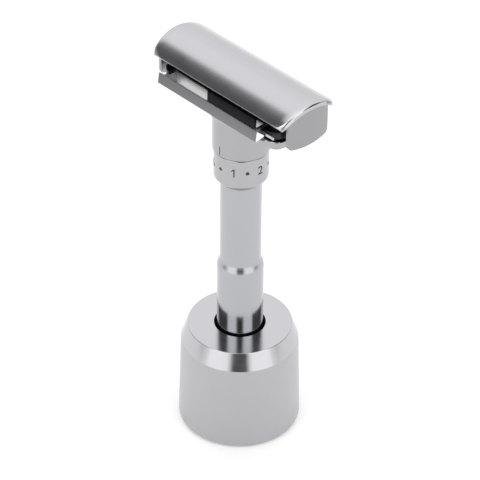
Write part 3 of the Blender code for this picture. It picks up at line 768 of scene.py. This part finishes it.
def bed_moulding():
    """Hub, spine and end blocks of the black bed."""
    block = end_outline(BLOCK_END_X, BLOCK_HALF_Y, 4.0 * MM)
    right = [(BLOCK_X, -SPINE_HALF_Y), (BLOCK_X, -BLOCK_HALF_Y)] + block
    right += [(BLOCK_X, BLOCK_HALF_Y), (BLOCK_X, SPINE_HALF_Y)]
    spine = plate("spine", both_ends(right), BED_Z, BLOCK_TOP_Z, "XY", 0.2 * MM)
    hub = plate("hub", saddle_outline(BED_Z), -HUB_HALF_X, HUB_HALF_X, "YZ", 0.25 * MM)
    mesh = merged("bed_moulding", [spine, hub])
    show("bed_moulding", mesh, ("nylon",), "bed", "bed_nylon", "bed_carrier")


def blade_rest(side, label):
    """A polished saddle on the spine beside the hub, which the blade rests on."""
    low, high = sorted((side * (HUB_HALF_X + GAP), side * SUPPORT_END_X))
    mesh = plate("blade_rest_" + label, saddle_outline(BLOCK_TOP_Z + GAP), low, high, "YZ", 0.2 * MM)
    show("blade_rest_" + label, mesh, ("bright",), "bed", "polished_chrome", "blade_support_" + label)


# ---------------------------------------------------------------- cap

RIM_BEVEL = 0.5 * MM                # how far the bevel of each end's rim goes along X
RIM_DROP = 0.9 * RIM_BEVEL          # and how far it goes down


def cap_section():
    """The arch's cross-section as (y, z, depth share): the outer skin first, then the inner one."""
    outer_steps = 72
    inner_steps = 60
    inner_r = CAP_R - CAP_T
    outer_angle = math.degrees(math.acos(CAP_HALF_Y / CAP_R))
    inner_angle = math.degrees(math.acos((CAP_HALF_Y - 0.9 * MM) / inner_r))
    lip = 0.22 * MM
    corners = [(y, z, 0.0, 1.0) for y, z in arc((0.0, CAP_AXIS_Z), CAP_R, outer_angle,
                                                180.0 - outer_angle, outer_steps)]
    corners += [(y, z, 0.0, 0.0) for y, z in arc((0.0, CAP_AXIS_Z), inner_r, 180.0 - inner_angle,
                                                 inner_angle, inner_steps)]
    ends = (0, outer_steps, outer_steps + 1, len(corners) - 1)
    corners = [(y, z, lip if index in ends else 0.0, skin)
               for index, (y, z, _, skin) in enumerate(corners)]
    return eased(corners, 4)


def cap_reach(y):
    """How far along X the cap goes at a distance from its middle."""
    across = abs(y)
    corner_y = CAP_HALF_Y - CAP_CORNER_R
    between = CAP_PLAN_R - CAP_CORNER_R
    if across * between < corner_y * CAP_PLAN_R:
        return CAP_HALF_X - CAP_PLAN_R + math.sqrt(CAP_PLAN_R ** 2 - across ** 2)
    corner_x = CAP_HALF_X - CAP_PLAN_R + math.sqrt(between ** 2 - corner_y ** 2)
    return corner_x + math.sqrt(max(0.0, CAP_CORNER_R ** 2 - (across - corner_y) ** 2))


def cap_stations():
    """The arch's cross-sections from end to end: share of the reach, inset and share of the bevel."""
    spans = 24
    rim = ((0.0, 1.0), (0.12 * MM, 0.8), (RIM_BEVEL, 0.0))
    stations = [(-1, inset, bevel) for inset, bevel in rim]
    stations += [(2 * k / spans - 1, RIM_BEVEL, 0.0) for k in range(1, spans)]
    stations += [(1, inset, bevel) for inset, bevel in reversed(rim)]
    return stations


def cap_cover():
    """The arched cover with its ends trimmed round and a bright bevel along each end's rim."""
    section = cap_section()
    total = len(section)
    stations = cap_stations()
    verts = []
    for share, inset, bevel in stations:
        for y, z, skin in section:
            radial = Vector((0.0, y, z - CAP_AXIS_Z))
            depth = bevel * skin * RIM_DROP
            radial -= radial.normalized() * depth
            reach = cap_reach(radial.y) - inset
            verts.append((share * reach, radial.y, radial.z + CAP_AXIS_Z))
    faces = []
    finishes = []
    for row in range(len(stations) - 1):
        at_rim = row < 2 or row > len(stations) - 4
        for index in range(total):
            after = (index + 1) % total
            here = row * total
            faces.append((here + index, here + after, here + total + after, here + total + index))
            finishes.append(1 if at_rim and section[index][2] > 0.5 else 0)
    outer = [index for index in range(total) if section[index][2] > 0.5]
    inner = [index for index in range(total) if section[index][2] <= 0.5]
    mesh = bpy.data.meshes.new("cap_cover")
    mesh.from_pydata(verts, [], faces)
    mesh.polygons.foreach_set("material_index", finishes)
    close_ends(mesh, outer, inner, (0, (len(stations) - 1) * total))
    tidy(mesh, 50.0)
    show("cap_cover", mesh, ("cap", "cap_bevel"), "cap", "cap_chrome", "cap")


def close_ends(mesh, outer, inner, starts):
    """Close each end of the swept section with quads from its outer skin to its inner one."""
    work = bmesh.new()
    work.from_mesh(mesh)
    work.verts.ensure_lookup_table()
    count = len(outer)
    for start in starts:
        pairs = []
        for index in range(count):
            share = index / (count - 1)
            other = inner[len(inner) - 1 - round(share * (len(inner) - 1))]
            pairs.append((work.verts[start + outer[index]], work.verts[start + other]))
        for (a, b), (c, d) in zip(pairs, pairs[1:]):
            corners = [a, c, d, b] if d != b else [a, c, b]
            work.faces.new(corners)
    work.to_mesh(mesh)
    work.free()


def plate_low(y):
    """The height of an end plate's lower edge: nearly straight, with round corners."""
    across = abs(y)
    corner_y = PLATE_HALF_Y - PLATE_CORNER_R
    between = PLATE_LOW_R - PLATE_CORNER_R
    centre_z = PLATE_Z + PLATE_LOW_R
    if across * between < corner_y * PLATE_LOW_R:
        return centre_z - math.sqrt(PLATE_LOW_R ** 2 - across ** 2)
    corner_z = centre_z - math.sqrt(between ** 2 - corner_y ** 2)
    return corner_z - math.sqrt(max(0.0, PLATE_CORNER_R ** 2 - (across - corner_y) ** 2))


def cap_plate(side, label):
    """An end plate that hangs under the arch's rim, with a concave fillet up to the rim."""
    across = 56
    drop = 26
    fillet = 0.45 * MM
    under = RIM_DROP + 0.1 * MM
    rows = []
    for column in range(across + 1):
        y = PLATE_HALF_Y * math.sin(math.pi * (column / across - 0.5))
        high = CAP_AXIS_Z + math.sqrt((CAP_R - under) ** 2 - y ** 2)
        low = plate_low(y)
        reach = cap_reach(y)
        line = []
        for step in range(7):
            angle = math.pi / 2 * step / 6
            line.append((reach - PLATE_INSET * math.sin(angle), high - fillet * (1 - math.cos(angle))))
        start = line[-1][1]
        for step in range(1, drop + 1):
            line.append((reach - PLATE_INSET, start + (low - start) * step / drop))
        rows.append([(side * x, y, z) for x, z in line])
    mesh = thick_grid("cap_plate_" + label, rows, side * -PLATE_T, 0.22 * MM)
    show("cap_plate_" + label, mesh, ("cap_plate",), "cap", "cap_chrome", "cap")


def thick_grid(name, rows, depth, ease):
    """A grid of points made a solid of a thickness along X, with rounded rims."""
    wide = len(rows)
    tall = len(rows[0])
    work = bmesh.new()
    front = [[work.verts.new(spot) for spot in line] for line in rows]
    back = []
    for line in rows:
        inner_x = line[-1][0] + depth
        back.append([work.verts.new((inner_x, y, z)) for _, y, z in line])
    for sheet in (front, back):
        for i in range(wide - 1):
            for j in range(tall - 1):
                work.faces.new((sheet[i][j], sheet[i + 1][j], sheet[i + 1][j + 1], sheet[i][j + 1]))
    for i in range(wide - 1):
        for j in (0, tall - 1):
            work.faces.new((front[i][j], front[i + 1][j], back[i + 1][j], back[i][j]))
    for j in range(tall - 1):
        for i in (0, wide - 1):
            work.faces.new((front[i][j], front[i][j + 1], back[i][j + 1], back[i][j]))
    bmesh.ops.recalc_face_normals(work, faces=work.faces)
    edges = [e for e in work.edges if e.calc_face_angle(0.0) > math.radians(60.0)]
    bmesh.ops.bevel(work, geom=edges, offset=ease, segments=3, profile=0.5, affect="EDGES",
                    clamp_overlap=True)
    mesh = bpy.data.meshes.new(name)
    work.to_mesh(mesh)
    work.free()
    tidy(mesh)
    return mesh


# ---------------------------------------------------------------- carried-over CAD pieces

DRESS = {
    "tray_insert": "sheet",
    "stand_liner": "liner",
    "stand_ballast": "iron",
    "stand_base_plate": "steel",
    "stand_base_screw": "steel",
    "stand_foot_pad": "rubber",
    "handle_end_plug": "bright",
    "adjuster_bush": "brass",
    "thrust_washer": "brass",
    "retaining_clip": "steel",
    "detent_ball": "steel",
    "detent_spring": "spring",
    "return_spring": "spring",
    "adjuster_stem": "steel",
    "bed_screw": "steel",
    "guide_pin_left": "steel",
    "guide_pin_right": "steel",
    "catch_spring_left": "spring",
    "catch_spring_right": "spring",
    "cap_post_left": "bright",
    "cap_post_right": "bright",
}


def dress_frame():
    for node, look in DRESS.items():
        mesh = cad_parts[node].data
        mesh.materials.clear()
        mesh.materials.append(LOOK[look])


# ---------------------------------------------------------------- studio

CAMERA_SPOT = (0.37126, -0.346628, 0.438236)
CAMERA_HEADING = 0.82
CAMERA_PITCH = 0.641658
CAMERA_ROLL = 0.0086698
CAMERA_LENS = 179.96
FLOOR_R = 3.0
FLOOR_WHITE_R = (0.21, 0.36)
FLOOR_GLOW = 0.32
FLOOR_WHITE = 0.78
# What the far floor turns into, as light and shade painted on the sheet: (from, to) degrees away
# from the front, how soft the change is, and the sheet's painted whiteness and glow there.
FLOOR_ZONES = (
    ((22, 60), 4, 0.78, 0.70),                # the soft boxes' light on the floor
    ((72, 125), 8, 0.40, 0.00),               # less light at both sides
    ((-30, 14), 4, 0.40, 0.00),               # and in front
)


def camera():
    data = bpy.data.cameras.new("camera")
    data.lens = CAMERA_LENS
    data.sensor_width = 36.0
    data.clip_start = 0.01
    made = bpy.data.objects.new("camera", data)
    bpy.context.scene.collection.objects.link(made)
    turn = Matrix.Rotation(CAMERA_HEADING, 4, "Z") @ Matrix.Rotation(math.pi / 2 - CAMERA_PITCH, 4, "X")
    turn = turn @ Matrix.Rotation(CAMERA_ROLL, 4, "Z")
    made.matrix_world = Matrix.Translation(CAMERA_SPOT) @ turn
    bpy.context.scene.camera = made


def window(graph, value, low, high, soft):
    """1 between low and high, falling softly to 0 outside."""
    rise = graph.remap(value, low - soft, low + soft, 0.0, 1.0, smooth=True)
    fall = graph.remap(value, high - soft, high + soft, 1.0, 0.0, smooth=True)
    return graph.math("MULTIPLY", rise, fall)


def mixed(graph, value, other, share):
    """The value moved towards the other one by a share from 0 to 1."""
    change = graph.math("SUBTRACT", other, value)
    return graph.math("MULTIPLY_ADD", change, share, value)


def away_from_front(graph, vector):
    """Degrees between a direction and the front, seen from above, and the direction's height."""
    turn = graph.node("ShaderNodeVectorRotate", rotation_type="Z_AXIS")
    graph.feed(turn.inputs["Vector"], vector)
    turn.inputs["Angle"].default_value = math.pi / 2 - CAMERA_HEADING
    split = graph.node("ShaderNodeSeparateXYZ")
    graph.feed(split.inputs[0], turn.outputs[0])
    around = graph.math("ARCTAN2", split.outputs[1], split.outputs[0])
    return graph.math("DEGREES", graph.math("ABSOLUTE", around)), split.outputs[2]


def floor():
    """A large pale sheet, plain white around the object, with pools of light and shade painted on it
    farther out.
    """
    work = bmesh.new()
    bmesh.ops.create_circle(work, cap_ends=True, segments=96, radius=FLOOR_R)
    mesh = bpy.data.meshes.new("floor")
    work.to_mesh(mesh)
    work.free()
    made = bpy.data.objects.new("floor", mesh)
    bpy.context.scene.collection.objects.link(made)
    white, graph, shader = new_material("white_sheet", 0.0)
    place = place_of(graph)
    length = graph.node("ShaderNodeVectorMath", operation="LENGTH")
    graph.feed(length.inputs[0], place)
    far = graph.remap(length.outputs["Value"], *FLOOR_WHITE_R, 0.0, 1.0, smooth=True)
    around = away_from_front(graph, place)[0]
    paper_and_painted_light = FLOOR_WHITE
    glow = FLOOR_GLOW
    # The zones paint a pool of light and patches of shade onto the far floor through its whiteness and
    # glow.
    for across, soft, zone_painted_whiteness, zone_glow in FLOOR_ZONES:
        inside = graph.math("MULTIPLY", far, window(graph, around, *across, soft))
        paper_and_painted_light = mixed(graph, paper_and_painted_light, zone_painted_whiteness, inside)
        glow = mixed(graph, glow, zone_glow, inside)
    graph.feed(shader.inputs["Base Color"], paper_and_painted_light)
    shader.inputs["Roughness"].default_value = 0.9
    shader.inputs["Specular IOR Level"].default_value = 0.1
    shader.inputs["Emission Color"].default_value = (1.0, 1.0, 1.0, 1.0)
    graph.feed(shader.inputs["Emission Strength"], glow)
    mesh.materials.append(white)


# The studio's panels: (from, to) degrees away from the front, (from, to) degrees above the
# horizon, how soft their edges are in both, and how bright they are.
BACKDROP = (1.02, 1.30)
BACKDROP_RISE = (2.0, 45.0)
PLAIN_WALL = 1.0                    # what any view sees behind the object
PANELS = (
    ((52, 135), (-20, 22), 12, 8, 0.60),      # grey room at both sides
    ((62, 130), (24, 56), 7, 8, 0.10),        # black flags at both sides
    ((20, 62), (-15, 60), 3, 8, 1.50),        # soft boxes left and right of the front
    ((20, 62), (24, 60), 3, 6, 2.00),         # their brighter upper halves
    ((-15, 15), (-15, 56), 4, 6, 0.03),       # black wall in front
    ((-20, 200), (66, 95), 3, 6, 1.60),       # overhead panel
)


def studio():
    """Soft panels all round, set out by direction, so that they light every view alike."""
    world = bpy.data.worlds.new("studio")
    bpy.context.scene.world = world
    world.use_nodes = True
    graph = Graph(world.node_tree)
    background = world.node_tree.nodes["Background"]
    direction = graph.node("ShaderNodeTexCoord").outputs["Generated"]
    around, rise = away_from_front(graph, direction)
    above = graph.math("DEGREES", graph.math("ARCSINE", rise))
    light = graph.remap(above, *BACKDROP_RISE, *BACKDROP)
    for across, up, soft_across, soft_up, strength in PANELS:
        inside = graph.math("MULTIPLY", window(graph, around, *across, soft_across),
                            window(graph, above, *up, soft_up))
        light = mixed(graph, light, strength, inside)
    seen = graph.node("ShaderNodeLightPath").outputs["Is Camera Ray"]
    light = mixed(graph, light, PLAIN_WALL, seen)
    background.inputs["Color"].default_value = (1.0, 0.995, 1.0, 1.0)
    graph.feed(background.inputs["Strength"], light)
    bpy.context.scene.view_settings.view_transform = "Standard"


# ---------------------------------------------------------------- assembly

stand_body()
handle_body()
dial_marks()
neck()
index_mark()
guard_slab()
tray_cheeks()
bed_moulding()
cap_cover()
for sign, name in SIDES:
    guard_bar(sign, "front" if sign < 0 else "back")
    end_wall(sign, name)
    blade_rest(sign, name)
    cap_plate(sign, name)
dress_frame()
floor()
studio()
camera()
